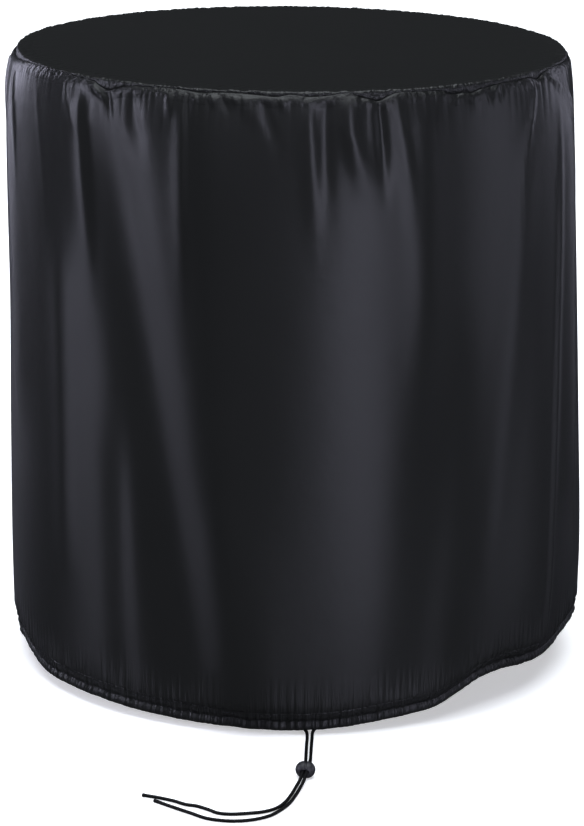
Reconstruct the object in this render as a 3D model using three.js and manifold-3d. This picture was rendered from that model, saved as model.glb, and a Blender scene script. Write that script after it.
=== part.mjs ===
// A fitted drawstring cover for a round table, empty, in the shape in which it hangs.
// Millimetres, +Z up. The origin is the centre of the top panel's underside, the face that lies on
// the lid. The front, where the drawstring comes out, is -Y. An azimuth is in degrees from the
// front towards +X, and a drop is measured down from the origin.

import * as THREE from "three";
import { mergeVertices } from "three/addons/utils/BufferGeometryUtils.js";
import Module from "manifold-3d";

const wasm = await Module();
wasm.setup();

// Driving dimensions
const CLOTH = 1.5; // thickness of the coated cloth
const PLY_GAP = 0.3; // air between two pieces that lie together
const COLUMNS = 112; // steps round the cover

// The seam between the two panels: a ring, a little nearer the axis on the right. The side panel's
// edge is turned in under the top panel's, a step away from it
const SEAM = { radius: 248, rightIn: 2.4, drop: 1.3, rim: 8, step: 1.3, turnedIn: 6, slope: 58 };

// The drawstring casing along the hem: its height, the height up to which it stands upright, the
// height over which the wall above is drawn in, and the free room round the cord in its tunnel
const CASING = { height: 18, upright: 9, drawnOver: 60, bulge: 1.2, stitchIn: 0.4, room: 0.7 };

// The slit in the casing through which both ends of the cord come out
const SLIT = { azimuth: 4.4, width: 13.4, low: 1.9, high: 5.9, reach: 6 };

const CORD = { diameter: 3, sides: 8, endSteps: 60 };
const LOOP = { aboveEdge: 3.9, insideEdge: 2.7, stopsAt: 2.9, steps: 76 };

// The ball stopper, lying on the floor with both strands through it
const STOPPER = {
  centre: [15.5, -359.4, -556.2],
  turned: -7.5,
  radius: 7.2,
  halfLength: 8.5,
  groove: { at: 0.5, width: 1.1, depth: 0.8 },
  strandsApart: 3.3,
  holeClear: 0.36,
  sides: 20,
  domeRings: 5,
};

// The wall's radius at the left and the right, before its folds
const WALL = [
  { drop: 0, left: 252, right: 247.5 },
  { drop: 6, left: 255.5, right: 250 },
  { drop: 14, left: 257, right: 251.2 },
  { drop: 30, left: 258.8, right: 253 },
  { drop: 60, left: 260.2, right: 255.5 },
  { drop: 120, left: 260.3, right: 258.8 },
  { drop: 230, left: 259, right: 263.8 },
  { drop: 340, left: 259.8, right: 268.4 },
  { drop: 460, left: 260, right: 272.6 },
  { drop: 520, left: 259, right: 272 },
  { drop: 565, left: 258, right: 270 },
];

// The hem's lower edge: nearly on the floor at the front, lifted at the right
const HEM_LINE = [
  { azimuth: -150, drop: 551, radius: 254 },
  { azimuth: -118, drop: 546, radius: 256 },
  { azimuth: -86, drop: 544.5, radius: 256 },
  { azimuth: -74, drop: 544.5, radius: 254.5 },
  { azimuth: -64, drop: 554.5, radius: 252 },
  { azimuth: -50, drop: 558, radius: 251 },
  { azimuth: -28, drop: 560.5, radius: 250.5 },
  { azimuth: -10, drop: 562.2, radius: 250 },
  { azimuth: 4.4, drop: 562.8, radius: 250 },
  { azimuth: 15, drop: 560.5, radius: 250 },
  { azimuth: 28, drop: 554, radius: 250.5 },
  { azimuth: 37, drop: 543.5, radius: 252 },
  { azimuth: 47, drop: 533.5, radius: 253.5 },
  { azimuth: 58, drop: 536.5, radius: 256 },
  { azimuth: 74, drop: 530.5, radius: 262 },
  { azimuth: 88, drop: 525, radius: 265 },
  { azimuth: 112, drop: 529, radius: 263 },
  { azimuth: 140, drop: 541, radius: 258 },
  { azimuth: 175, drop: 550, radius: 254 },
];

// Broad folds: each runs from its top to its foot, a ridge or, below zero, a trough, with a spread
// of its own to the left and to the right
const FOLDS = [
  { top: -76, foot: -70, from: -30, to: 330, left: 14, right: 32, rise: 3.6 },
  { top: -51, foot: -48, from: 120, to: 460, left: 18, right: 22, rise: 3.2 },
  { top: -36, foot: -33, from: 270, to: 560, left: 16, right: 14, rise: -2.4 },
  { top: -41.5, foot: -15, from: -40, to: 555, left: 32, right: 30, rise: -7 },
  { top: -17.5, foot: -9, from: -60, to: 600, left: 40, right: 48, rise: 6.8 },
  { top: -13, foot: -7, from: 330, to: 600, left: 24, right: 30, rise: 2.6 },
  { top: 1, foot: -2, from: 90, to: 580, left: 40, right: 50, rise: 2 },
  { top: 33, foot: 23, from: 170, to: 580, left: 34, right: 26, rise: -3 },
  { top: 54, foot: 38, from: 12, to: 470, left: 18, right: 18, rise: 2 },
  { top: 74, foot: 70, from: -20, to: 420, left: 32, right: 12, rise: 5 },
  { top: 84, foot: 80, from: 20, to: 500, left: 24, right: 24, rise: -3.5 },
  { top: 102, foot: 118, from: 15, to: 545, left: 24, right: 24, rise: 4.5 },
  { top: 121, foot: 131, from: 30, to: 540, left: 26, right: 26, rise: -5 },
  { top: 143, foot: 148, from: 10, to: 550, left: 26, right: 26, rise: 4 },
  { top: 166, foot: 170, from: 60, to: 550, left: 30, right: 30, rise: -5 },
  { top: -168, foot: -172, from: 12, to: 550, left: 26, right: 26, rise: 4.5 },
  { top: -149, foot: -140, from: 30, to: 540, left: 28, right: 28, rise: -5 },
  { top: -128, foot: -117, from: 10, to: 545, left: 24, right: 24, rise: 4.5 },
  { top: -105, foot: -97, from: 40, to: 530, left: 26, right: 26, rise: -4 },
];

// Short tucks that the gathered seam starts, each fading within its reach
const TUCKS = [
  { azimuth: -47, lean: 5, reach: 190, spread: 14, rise: 3 },
  { azimuth: -39, lean: 1, reach: 60, spread: 10, rise: -2.5 },
  { azimuth: -32, lean: 4, reach: 80, spread: 11, rise: -2.5 },
  { azimuth: -21, lean: 0, reach: 190, spread: 10, rise: 1.5 },
  { azimuth: -14, lean: 4, reach: 45, spread: 10, rise: -2 },
  { azimuth: -2, lean: 0, reach: 40, spread: 11, rise: 2.5 },
  { azimuth: 5.5, lean: 2, reach: 120, spread: 10, rise: -3 },
  { azimuth: 11, lean: 6, reach: 110, spread: 10, rise: 5 },
  { azimuth: 17, lean: 1, reach: 110, spread: 10, rise: -4.5 },
  { azimuth: 22, lean: 4, reach: 200, spread: 13, rise: 3 },
  { azimuth: 33, lean: -1, reach: 45, spread: 11, rise: -3 },
  { azimuth: 43, lean: 0, reach: 40, spread: 11, rise: 2.5 },
  { azimuth: 57, lean: -10, reach: 140, spread: 10, rise: 2.5 },
  { azimuth: 84, lean: 3, reach: 90, spread: 11, rise: -3 },
];

// The even gathering between the tucks, as waves round the seam and round the hem
const SEAM_WAVES = [
  { count: 17, phase: 0.4, rise: 0.9 },
  { count: 23, phase: 2.1, rise: 0.8 },
  { count: 27, phase: 4.4, rise: 0.7 },
];
const HEM_WAVES = [
  { count: 19, phase: 1.3, rise: 0.7 },
  { count: 28, phase: 3.2, rise: 0.6 },
];
const SEAM_WAVE_REACH = 70;
const HEM_WAVE_REACH = 45;

// How folds begin and end: as shares of a fold's length, and as the drop in which a tuck opens
const FOLD_ENDS = { start: 0.25, end: 0.15 };
const TUCK_OPENS = 9;
const TUCK_FADE = 1.5;

// Heights at which the wall is measured: below the seam, between, and above the hem's edge
const STEPS_BELOW_SEAM = [5, 14, 30, 58, 100];
const STEPS_BETWEEN = 4;
const STEPS_ABOVE_HEM = [85, 52, 30];

// Routes of the cord's two free ends: from inside the casing out of the slit, through the stopper,
// and on along the floor, which is 563.5 below the origin
const LEFT_END = [
  [6.8, -247.2, -558.9], [10.8, -247.1, -558.9], [13.9, -247.8, -558.9], [16.2, -249.8, -559],
  [17.3, -252.7, -559.3], [17.3, -260, -560.4], [17, -270, -561.5], [16.7, -285, -561.9],
  [16.3, -303, -561.9], [15.9, -322, -561.3], [15.5, -338, -558.7], [15, -350.3, -556.3],
  [13.87, -359.2, -556.2], [12.7, -368.1, -556.3], [10.6, -378, -558.8], [6.9, -388.8, -561.4],
  [3.6, -402, -561.9], [-1.5, -418.6, -561.9], [-8.7, -431.5, -561.9], [-18.5, -439, -561.9],
  [-31.6, -442.9, -561.9], [-46, -445, -561.9], [-56.1, -442.9, -561.9], [-64.6, -435.4, -561.9],
  [-74.7, -428, -561.9], [-83.2, -425.2, -561.9], [-92.3, -418.4, -561.9], [-106, -411, -561.9],
  [-120.2, -405.3, -561.9],
];
const RIGHT_END = [
  [31, -245.4, -558.9], [27.1, -245.8, -558.9], [24.1, -247, -558.9], [22.2, -249.3, -559],
  [21.6, -252.4, -559.3], [21.4, -260, -560.4], [21.3, -270, -561.5], [20.9, -285, -561.9],
  [20.4, -303, -561.9], [19.9, -322, -561.3], [19.2, -338, -558.7], [18.35, -350.7, -556.3],
  [17.13, -359.6, -556.2], [15.95, -368.5, -556.3], [14, -378.5, -558.8], [10.6, -389.6, -561.4],
  [7.2, -403, -561.9], [2.3, -420, -561.9], [-4.6, -434.5, -561.9], [-13.2, -447, -561.9],
  [-24.5, -455, -561.9], [-36, -458.8, -561.9], [-47.6, -459.4, -561.9], [-64, -455, -561.9],
  [-79.1, -443, -561.9], [-96, -429, -561.9], [-109.7, -417, -561.9],
];

const radians = THREE.MathUtils.degToRad;
const mix = THREE.MathUtils.lerp;
const ease = (value) => THREE.MathUtils.smoothstep(value, 0, 1);
const hump = (offset, spread) => Math.exp(-((offset / spread) ** 2));
const turnBetween = (from, to) => THREE.MathUtils.euclideanModulo(to - from + 180, 360) - 180;

// A smooth curve through a table's column, read at one value of its key
function readTable(rows, key, column, at) {
  const upper = rows.findIndex((row) => row[key] >= at);
  const last = rows.length - 1;
  const k = THREE.MathUtils.clamp(upper < 0 ? last : upper, 1, last);
  const before = rows[k - 1];
  const after = rows[k];
  const slope = (a, b) => (b[column] - a[column]) / (b[key] - a[key]);
  const straight = slope(before, after);
  const slopeIn = k > 1 ? (slope(rows[k - 2], before) + straight) / 2 : straight;
  const slopeOut = k < last ? (straight + slope(after, rows[k + 1])) / 2 : straight;
  const span = after[key] - before[key];
  const t = THREE.MathUtils.clamp((at - before[key]) / span, 0, 1);
  const s = 1 - t;
  return s * s * (1 + 2 * t) * before[column] + t * t * (1 + 2 * s) * after[column]
    + s * t * span * (s * slopeIn - t * slopeOut);
}

// The hem's table with its rows repeated once before and once after, so that it closes
const HEM_ROUND = [-360, 0, 360].flatMap((turn) => (
  HEM_LINE.map((row) => ({ ...row, azimuth: row.azimuth + turn }))
));

function hemEdge(azimuth) {
  return {
    radius: readTable(HEM_ROUND, "azimuth", "radius", azimuth),
    drop: readTable(HEM_ROUND, "azimuth", "drop", azimuth),
  };
}

const seamRadius = (azimuth) => SEAM.radius - SEAM.rightIn * Math.sin(radians(azimuth));

function waves(rows, azimuth) {
  return rows.reduce((sum, row) => (
    sum + row.rise * Math.sin(row.count * radians(azimuth) + row.phase)
  ), 0);
}

// How far the folds and gathers push the wall out at one place
function foldRise(azimuth, drop, hemDrop, radius) {
  const arc = (from) => radians(turnBetween(from, azimuth)) * radius;
  const opening = ease((drop - SEAM.drop) / TUCK_OPENS);
  const below = drop - SEAM.drop;
  const above = hemDrop - drop;
  let rise = 0;
  for (const fold of FOLDS) {
    const t = (drop - fold.from) / (fold.to - fold.from);
    const along = ease(t / FOLD_ENDS.start) * ease((1 - t) / FOLD_ENDS.end);
    const across = arc(mix(fold.top, fold.foot, t));
    rise += fold.rise * along * opening * hump(across, across < 0 ? fold.left : fold.right);
  }
  for (const tuck of TUCKS) {
    const t = below / tuck.reach;
    const along = opening * Math.max(1 - t, 0) ** TUCK_FADE;
    rise += tuck.rise * along * hump(arc(tuck.azimuth + tuck.lean * t), tuck.spread);
  }
  rise += waves(SEAM_WAVES, azimuth) * opening * ease(1 - below / SEAM_WAVE_REACH);
  rise += waves(HEM_WAVES, azimuth) * ease(1 - (above - CASING.height) / HEM_WAVE_REACH);
  return rise * ease((above - CASING.upright) / CASING.height);
}

// The wall's middle surface: its own radius, drawn in towards the hem, with the folds on it
function wallRadius(azimuth, drop, hem) {
  const sideways = Math.sin(radians(azimuth));
  const left = readTable(WALL, "drop", "left", drop);
  const right = readTable(WALL, "drop", "right", drop);
  const full = (left + right) / 2 + ((right - left) / 2) * sideways;
  const t = THREE.MathUtils.clamp((hem.drop - drop - CASING.upright) / CASING.drawnOver, 0, 1);
  const drawn = mix(hem.radius, full, 1 - (1 - t) ** 2);
  return drawn + foldRise(azimuth, drop, hem.drop, full) - CLOTH / 2;
}

// Both faces of a cloth of even thickness, from the line along its middle in one upright section.
// Each point moves half the thickness along the normal there, further where the line turns.
function thicken(line) {
  const normals = line.slice(1).map((point, k) => {
    const step = point.clone().sub(line[k]).normalize();
    return new THREE.Vector2(-step.y, step.x);
  });
  const shift = line.map((point, k) => {
    const before = normals[Math.max(k - 1, 0)];
    const after = normals[Math.min(k, normals.length - 1)];
    const normal = before.clone().add(after).normalize();
    return normal.multiplyScalar(CLOTH / 2 / Math.max(normal.dot(after), 0.75));
  });
  return {
    face: line.map((point, k) => point.clone().add(shift[k])),
    back: line.map((point, k) => point.clone().sub(shift[k])),
  };
}

// The rim's roll: places between the flat edge and the seam, and how far down each is
const RIM_ROLL = [
  { across: 0.48, down: 0.2 },
  { across: 0.84, down: 0.8 },
];

// Top panel: flat to the rim and rolled over it to the seam
function topSection(azimuth) {
  const radius = seamRadius(azimuth);
  const middle = CLOTH / 2;
  const edge = radius - SEAM.rim;
  const { face, back } = thicken([
    new THREE.Vector2(edge, middle),
    ...RIM_ROLL.map(({ across, down }) => (
      new THREE.Vector2(mix(edge, radius, across), middle - down)
    )),
    new THREE.Vector2(radius, -SEAM.drop),
  ]);
  face[0].set(edge, CLOTH);
  back[0].set(edge, 0);
  return [...face, ...back.reverse()];
}

// The tunnel for the cord along the hem's edge: a round bottom, clear of the cord on all sides
const TUNNEL_TURNS = [-10, -63, -117, -170];
const TUNNEL_STEP = TUNNEL_TURNS[0] - TUNNEL_TURNS[1];
function tunnel(hem, turn) {
  const reach = (CORD.diameter / 2 + CASING.room + CLOTH / 2) / Math.cos(radians(TUNNEL_STEP / 2));
  return new THREE.Vector2(
    hem.radius - LOOP.insideEdge + reach * Math.cos(radians(turn)),
    LOOP.aboveEdge - hem.drop + reach * Math.sin(radians(turn)),
  );
}

// The side panel's bend over the seam, from its crease out to the wall
const SEAM_BEND = [
  { out: 1, up: 0.55 },
  { out: 2.3, up: 0 },
];
const CASING_MIDDLE = CASING.height * 0.55;

const SLOPE = radians(SEAM.slope);
const INWARDS = new THREE.Vector2(-Math.cos(SLOPE), -Math.sin(SLOPE));
const OUTWARDS = new THREE.Vector2(Math.sin(SLOPE), -Math.cos(SLOPE));

// Side panel: turned in at the seam, over and down the wall, round the hem and up inside it
function sideSection(azimuth) {
  const hem = hemEdge(azimuth);
  const wall = (drop) => new THREE.Vector2(wallRadius(azimuth, drop, hem), -drop);
  const casing = (height, inwards) => {
    const point = wall(hem.drop - height);
    point.x -= inwards;
    return point;
  };
  const crease = new THREE.Vector2(seamRadius(azimuth), -SEAM.drop)
    .addScaledVector(OUTWARDS, SEAM.step);
  const line = [
    crease.clone().addScaledVector(INWARDS, SEAM.turnedIn),
    crease,
    ...SEAM_BEND.map(({ out, up }) => crease.clone().add(new THREE.Vector2(out, up))),
  ];
  for (const below of STEPS_BELOW_SEAM) {
    line.push(wall(SEAM.drop + below));
  }
  const high = SEAM.drop + STEPS_BELOW_SEAM.at(-1);
  const low = hem.drop - STEPS_ABOVE_HEM[0];
  for (let k = 1; k <= STEPS_BETWEEN; k += 1) {
    line.push(wall(mix(high, low, k / (STEPS_BETWEEN + 1))));
  }
  for (const above of STEPS_ABOVE_HEM) {
    line.push(wall(hem.drop - above));
  }
  line.push(
    casing(CASING.height, CASING.stitchIn),
    casing(CASING_MIDDLE, -CASING.bulge),
    ...TUNNEL_TURNS.map((turn) => tunnel(hem, turn)),
    casing(CASING_MIDDLE, CORD.diameter + CLOTH),
    casing(CASING.height, CASING.stitchIn + CLOTH + PLY_GAP * 2),
  );
  const { face, back } = thicken(line);
  return [...face, ...back.reverse()];
}

const azimuths = Array.from({ length: COLUMNS }, (_, k) => (360 * k) / COLUMNS);

function place(point, azimuth) {
  const angle = radians(azimuth);
  return [point.x * Math.sin(angle), -point.x * Math.cos(angle), point.y];
}

// Joins the upright sections round the axis: a quad between each two neighbours on each side
function sweepRound(sections, closed) {
  const size = sections[0].length;
  const positions = sections.flatMap((section, k) => (
    section.flatMap((point) => place(point, azimuths[k]))
  ));
  const indices = [];
  for (let k = 0; k < COLUMNS; k += 1) {
    const here = k * size;
    const next = ((k + 1) % COLUMNS) * size;
    for (let j = 0; j < size - (closed ? 0 : 1); j += 1) {
      const j2 = (j + 1) % size;
      indices.push(here + j, here + j2, next + j2, here + j, next + j2, next + j);
    }
  }
  return { positions, indices };
}

// Fills a flat ring of corners by halving its arcs, so that the largest triangle is in the middle
function fillDisc(first, last, emit) {
  if (last - first < 2) {
    return;
  }
  const middle = Math.floor((first + last) / 2);
  emit(first, middle, last);
  fillDisc(first, middle, emit);
  fillDisc(middle, last, emit);
}

function toGeometry({ positions, indices }) {
  const geometry = new THREE.BufferGeometry();
  geometry.setAttribute("position", new THREE.Float32BufferAttribute(positions, 3));
  geometry.setIndex(indices);
  return geometry;
}

function topPanel() {
  const solid = sweepRound(azimuths.map(topSection), false);
  const size = solid.positions.length / 3 / COLUMNS;
  const ring = (k) => (k % COLUMNS) * size;
  const thirds = [0, 1, 2, 3].map((k) => Math.round((COLUMNS * k) / 3));
  const emit = (a, b, c) => {
    solid.indices.push(ring(a), ring(b), ring(c));
    solid.indices.push(ring(c) + size - 1, ring(b) + size - 1, ring(a) + size - 1);
  };
  emit(thirds[0], thirds[1], thirds[2]);
  for (let k = 0; k < 3; k += 1) {
    fillDisc(thirds[k], thirds[k + 1], emit);
  }
  return toGeometry(solid);
}

// A closed geometry as a solid that can be cut, with its corners merged and no empty triangles
function toSolid(geometry) {
  const bare = geometry.clone();
  bare.deleteAttribute("normal");
  bare.deleteAttribute("uv");
  const { index, attributes } = mergeVertices(bare, 1e-4);
  const triangles = [];
  for (let k = 0; k < index.count; k += 3) {
    const corners = [index.getX(k), index.getX(k + 1), index.getX(k + 2)];
    if (new Set(corners).size === 3) {
      triangles.push(...corners);
    }
  }
  return new wasm.Manifold(new wasm.Mesh({
    numProp: 3,
    vertProperties: new Float32Array(attributes.position.array),
    triVerts: new Uint32Array(triangles),
  }));
}

function fromSolid(solid) {
  const mesh = solid.getMesh();
  return toGeometry({
    positions: Array.from(mesh.vertProperties),
    indices: Array.from(mesh.triVerts),
  });
}

// The slit's cutter: a small box through the outer ply, square to it
function slitCutter() {
  const hem = hemEdge(SLIT.azimuth);
  const inner = hem.radius - LOOP.insideEdge;
  const outer = hem.radius + SLIT.reach;
  const angle = radians(SLIT.azimuth);
  const middle = (inner + outer) / 2;
  const height = (SLIT.low + SLIT.high) / 2 - hem.drop;
  return new THREE.BoxGeometry(SLIT.width, outer - inner, SLIT.high - SLIT.low)
    .rotateZ(angle)
    .translate(middle * Math.sin(angle), -middle * Math.cos(angle), height);
}

function sidePanel() {
  const cloth = toGeometry(sweepRound(azimuths.map(sideSection), true));
  return fromSolid(toSolid(cloth).subtract(toSolid(slitCutter())));
}

function tube(points, steps) {
  const path = new THREE.CatmullRomCurve3(points, false, "centripetal");
  const section = new THREE.Shape(Array.from({ length: CORD.sides }, (_, k) => {
    const angle = (2 * Math.PI * (k + 0.5)) / CORD.sides;
    return new THREE.Vector2(Math.cos(angle), Math.sin(angle)).multiplyScalar(CORD.diameter / 2);
  }));
  return new THREE.ExtrudeGeometry(section, { steps, extrudePath: path, bevelEnabled: false });
}

// The cord round the inside of the casing, from one side of the slit to the other
function loopInCasing() {
  const start = SLIT.azimuth + LOOP.stopsAt;
  const end = SLIT.azimuth + 360 - LOOP.stopsAt;
  const points = Array.from({ length: LOOP.steps + 1 }, (_, k) => {
    const azimuth = mix(start, end, k / LOOP.steps);
    const turned = azimuth > 360 ? azimuth - 360 : azimuth;
    const hem = hemEdge(turned);
    const point = new THREE.Vector2(hem.radius - LOOP.insideEdge, LOOP.aboveEdge - hem.drop);
    return new THREE.Vector3(...place(point, turned));
  });
  return tube(points, LOOP.steps);
}

function freeEnd(route) {
  return tube(route.map((point) => new THREE.Vector3(...point)), CORD.endSteps);
}

// The stopper: two domes turned round their shared axis, with a groove between them
function stopperBody() {
  const { radius, halfLength, groove, sides, domeRings } = STOPPER;
  const centre = halfLength - radius;
  const dome = (side) => Array.from({ length: domeRings + 1 }, (_, k) => {
    const angle = (Math.PI / 2) * (k / domeRings);
    return new THREE.Vector2(radius * Math.sin(angle), side * (centre + radius * Math.cos(angle)));
  });
  const lip = (side) => new THREE.Vector2(radius, groove.at + (side * groove.width) / 2);
  const bottom = new THREE.Vector2(radius - groove.depth, groove.at);
  const profile = [...dome(-1), lip(-1), bottom, lip(1), ...dome(1).reverse()];
  return new THREE.LatheGeometry(profile, sides).rotateZ(-Math.PI / 2);
}

// The oval hole that both strands pass through side by side
function stopperHole() {
  const { radius, strandsApart, holeClear } = STOPPER;
  const holeRadius = CORD.diameter / 2 + holeClear;
  const oval = new THREE.Shape()
    .absarc(strandsApart / 2, 0, holeRadius, -Math.PI / 2, Math.PI / 2)
    .absarc(-strandsApart / 2, 0, holeRadius, Math.PI / 2, (3 * Math.PI) / 2);
  const depth = 2.5 * radius;
  return new THREE.ExtrudeGeometry(oval, { depth, bevelEnabled: false, curveSegments: 6 })
    .translate(0, 0, -depth / 2);
}

function ballStopper() {
  return fromSolid(toSolid(stopperBody()).subtract(toSolid(stopperHole())));
}

const coatedCloth = () => new THREE.MeshStandardMaterial({
  color: 0x1c1c22,
  roughness: 0.45,
  metalness: 0,
});
const braid = () => new THREE.MeshStandardMaterial({ color: 0x17171a, roughness: 0.8, metalness: 0 });
const plastic = () => new THREE.MeshStandardMaterial({ color: 0x1b1b20, roughness: 0.35, metalness: 0 });

function piece(name, geometry, material) {
  const mesh = new THREE.Mesh(geometry, material);
  mesh.name = name;
  return mesh;
}

const cover = new THREE.Group();
cover.add(piece("top_panel", topPanel(), coatedCloth()));
cover.add(piece("side_panel", sidePanel(), coatedCloth()));
cover.add(piece("drawstring", loopInCasing(), braid()));
cover.add(piece("cord_tail_left", freeEnd(LEFT_END), braid()));
cover.add(piece("cord_tail_right", freeEnd(RIGHT_END), braid()));

const stopper = piece("ball_stopper", ballStopper(), plastic());
stopper.position.set(...STOPPER.centre);
stopper.rotation.set(-Math.PI / 2, 0, radians(STOPPER.turned), "ZYX");
cover.add(stopper);

export default cover;
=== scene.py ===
"""Round drawstring cover: cloth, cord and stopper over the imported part.

Sizes are in millimetres, heights are measured down from the underside of the top (drop), and
directions round the cover are in degrees from the front towards the right (azimuth). A mesh is
made in metres.
"""

import math

import bmesh
import bpy
import numpy as np
from mathutils import Matrix, Vector


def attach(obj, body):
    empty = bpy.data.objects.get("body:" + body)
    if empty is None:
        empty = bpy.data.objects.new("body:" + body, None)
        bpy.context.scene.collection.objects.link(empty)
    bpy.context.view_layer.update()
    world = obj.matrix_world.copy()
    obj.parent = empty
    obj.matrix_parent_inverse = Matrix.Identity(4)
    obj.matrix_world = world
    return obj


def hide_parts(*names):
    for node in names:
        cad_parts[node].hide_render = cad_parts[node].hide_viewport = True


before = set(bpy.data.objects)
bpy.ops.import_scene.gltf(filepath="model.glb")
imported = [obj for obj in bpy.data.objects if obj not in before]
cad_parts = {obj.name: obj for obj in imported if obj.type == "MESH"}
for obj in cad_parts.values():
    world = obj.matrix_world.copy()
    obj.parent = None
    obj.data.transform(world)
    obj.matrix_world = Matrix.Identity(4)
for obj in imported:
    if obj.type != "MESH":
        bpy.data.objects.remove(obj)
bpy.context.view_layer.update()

MM = 0.001

# The floor's height
FLOOR = -563.5

# The camera: its place in metres, how far it looks down and leans, and its lens
CAMERA = {"place": (0.0013, -2.9208, 0.4587), "down": 0.2680, "lean": 0.0095, "lens": 141.6}

# Thickness of the side panel's cloth, height of the top panel's outside over the underside of
# the top, and thickness of the single ply of the top and of the casing
SIDE_CLOTH = 0.9
TOP_CLOTH = 1.5
PLY = 0.7

# Width of the weave's pattern once round the cover, and of the cord's once round it, in metres
WAY_ROUND = {"side": 1.64, "casing": 1.6, "top": 1.6, "cord": 0.0094}

# The seam between the panels: its radius, how much less that is at the right, how far outside it
# the side panel and the top panel start, the width of the rim that rolls over to it, and how
# steeply the cloth is turned in at it, in degrees
SEAM = {
    "radius": 248.0, "right_in": 2.4, "side_out": 0.4, "top_out": 0.3, "rim": 3.2, "slope": 58.0,
}

# The side panel under the seam: the radius of a quarter circle, its share in the rounding, and
# the reach of the slower curve that makes up the rest
SHOULDER = {"radius": 4.5, "share": 0.75, "reach": 9}

# The drawstring casing: its height, the height up to which the wall's foot stands upright, the
# height over which the wall above that is drawn in, the height from which the casing's outer ply
# leans to the wall, and the radius of its rounded edge
CASING = {
    "height": 18.0, "upright": 9.0, "drawn_over": 16.0, "leans_from": 7.0, "edge_radius": 3.6,
}

# The slit in the hem's edge, through which the cord comes out: an oval, and how far in it reaches
SLIT = {"azimuth": 4.15, "half_width": 7.0, "half_height": 1.4, "depth": 4.0}

# The cord: its diameter, its place in the casing from the hem's edge, and how many degrees from
# the slit the loop stops
CORD = {"diameter": 3.0, "above_edge": 3.9, "inside_edge": 2.7, "stops_at": 2.9}

# The braid: the length after which its pattern repeats, the strands of one hand, how far they
# stand up from a radius that is a little less than the cord's, and the length of its rounded ends
BRAID = {"repeat": 3.75, "strands": 3, "relief": 0.07, "less": 0.04, "end": 0.8}

# The stopper: its middle, how far it is turned, its round ends' radius, half its length, its
# groove, and its hole, whose half circles stand apart for the two strands
STOPPER = {
    "centre": (15.5, -359.4, -556.2),
    "turned": -7.5,
    "radius": 7.2,
    "half_length": 8.5,
    "groove_at": 0.5,
    "groove_width": 0.6,
    "groove_depth": 1.5,
    "strands_apart": 3.3,
    "hole_radius": 1.86,
}

# The wall's radius at the left and the right, before its folds: drop, left, right
WALL = (
    (0, 252, 247.5),
    (6, 255.5, 250),
    (14, 257, 251.2),
    (30, 258.8, 253),
    (60, 260.2, 255.5),
    (120, 260.3, 258.8),
    (230, 259, 263.8),
    (340, 259.8, 268.4),
    (460, 260, 272.6),
    (500, 259.4, 271.5),
    (520, 258.7, 270.6),
    (565, 257.5, 269),
)

# The hem's lower edge: azimuth, drop, radius
HEM_LINE = (
    (-150, 551, 254),
    (-118, 546, 256),
    (-100, 543, 255),
    (-85, 542, 254.5),
    (-73, 542.8, 255),
    (-67, 546.5, 255.4),
    (-61, 553.2, 256),
    (-54, 554.6, 256.6),
    (-42, 555, 257.7),
    (-30, 556.8, 258.6),
    (-17, 558.4, 259.3),
    (-5, 560.3, 259.5),
    (4.4, 560.4, 259.5),
    (11, 558.6, 259.5),
    (18, 555.4, 259.6),
    (24, 553.2, 259.7),
    (30, 550, 259.9),
    (34, 544, 260),
    (40, 533.7, 260.4),
    (46, 530.6, 261.1),
    (54, 534, 262),
    (62, 535, 263.7),
    (70, 527, 266),
    (85, 524, 268.5),
    (112, 529, 265),
    (140, 541, 260),
    (175, 550, 256),
)

# The seam, which the gathering pulls down here and there: azimuth, drop
SEAM_LINE = (
    (-176, 1.2), (-160, 4), (-148, 1), (-134, 2.4), (-122, 5), (-110, 1.2), (-97, 2), (-84, 5),
    (-72, 2.2), (-66, 0.3), (-60, 0), (-56.6, -0.8), (-53.3, 0), (-50.4, -0.2), (-47.5, 0.9),
    (-44.8, 0.6), (-42.5, 2.5), (-40.9, 5.6), (-39, 7.6), (-36.6, 4.8), (-33.9, 1.8), (-31, 1),
    (-26.8, 0.2), (-22.5, 0.2), (-18.3, 1.8), (-14.3, 0.8), (-10.3, 0.8), (-6.4, 1.8), (-3.3, 2.8),
    (-0.7, 1), (3, 2.6), (6.6, 1.8), (9.3, 0.4), (11.3, 0.2), (12.9, 3.4), (14.9, 5.6), (16.5, 7.4),
    (18.1, 4.6), (19.7, 1.8), (25.2, 1.6), (30.4, 3), (33.3, 6.4), (35.4, 5.6), (37.6, 6.6),
    (39.9, 4.6), (42.3, 3.6), (47.4, 2.2), (51.8, 3), (55, 2.6), (58.8, 5.8), (61.5, 2.4),
    (63.9, 0.6), (72.7, 0.8), (80, 2.6), (88, 4.6), (104, 1.2),
    (118, 3.6), (131, 1), (146, 4.4), (160, 2), (172, 0.8),
)

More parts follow.
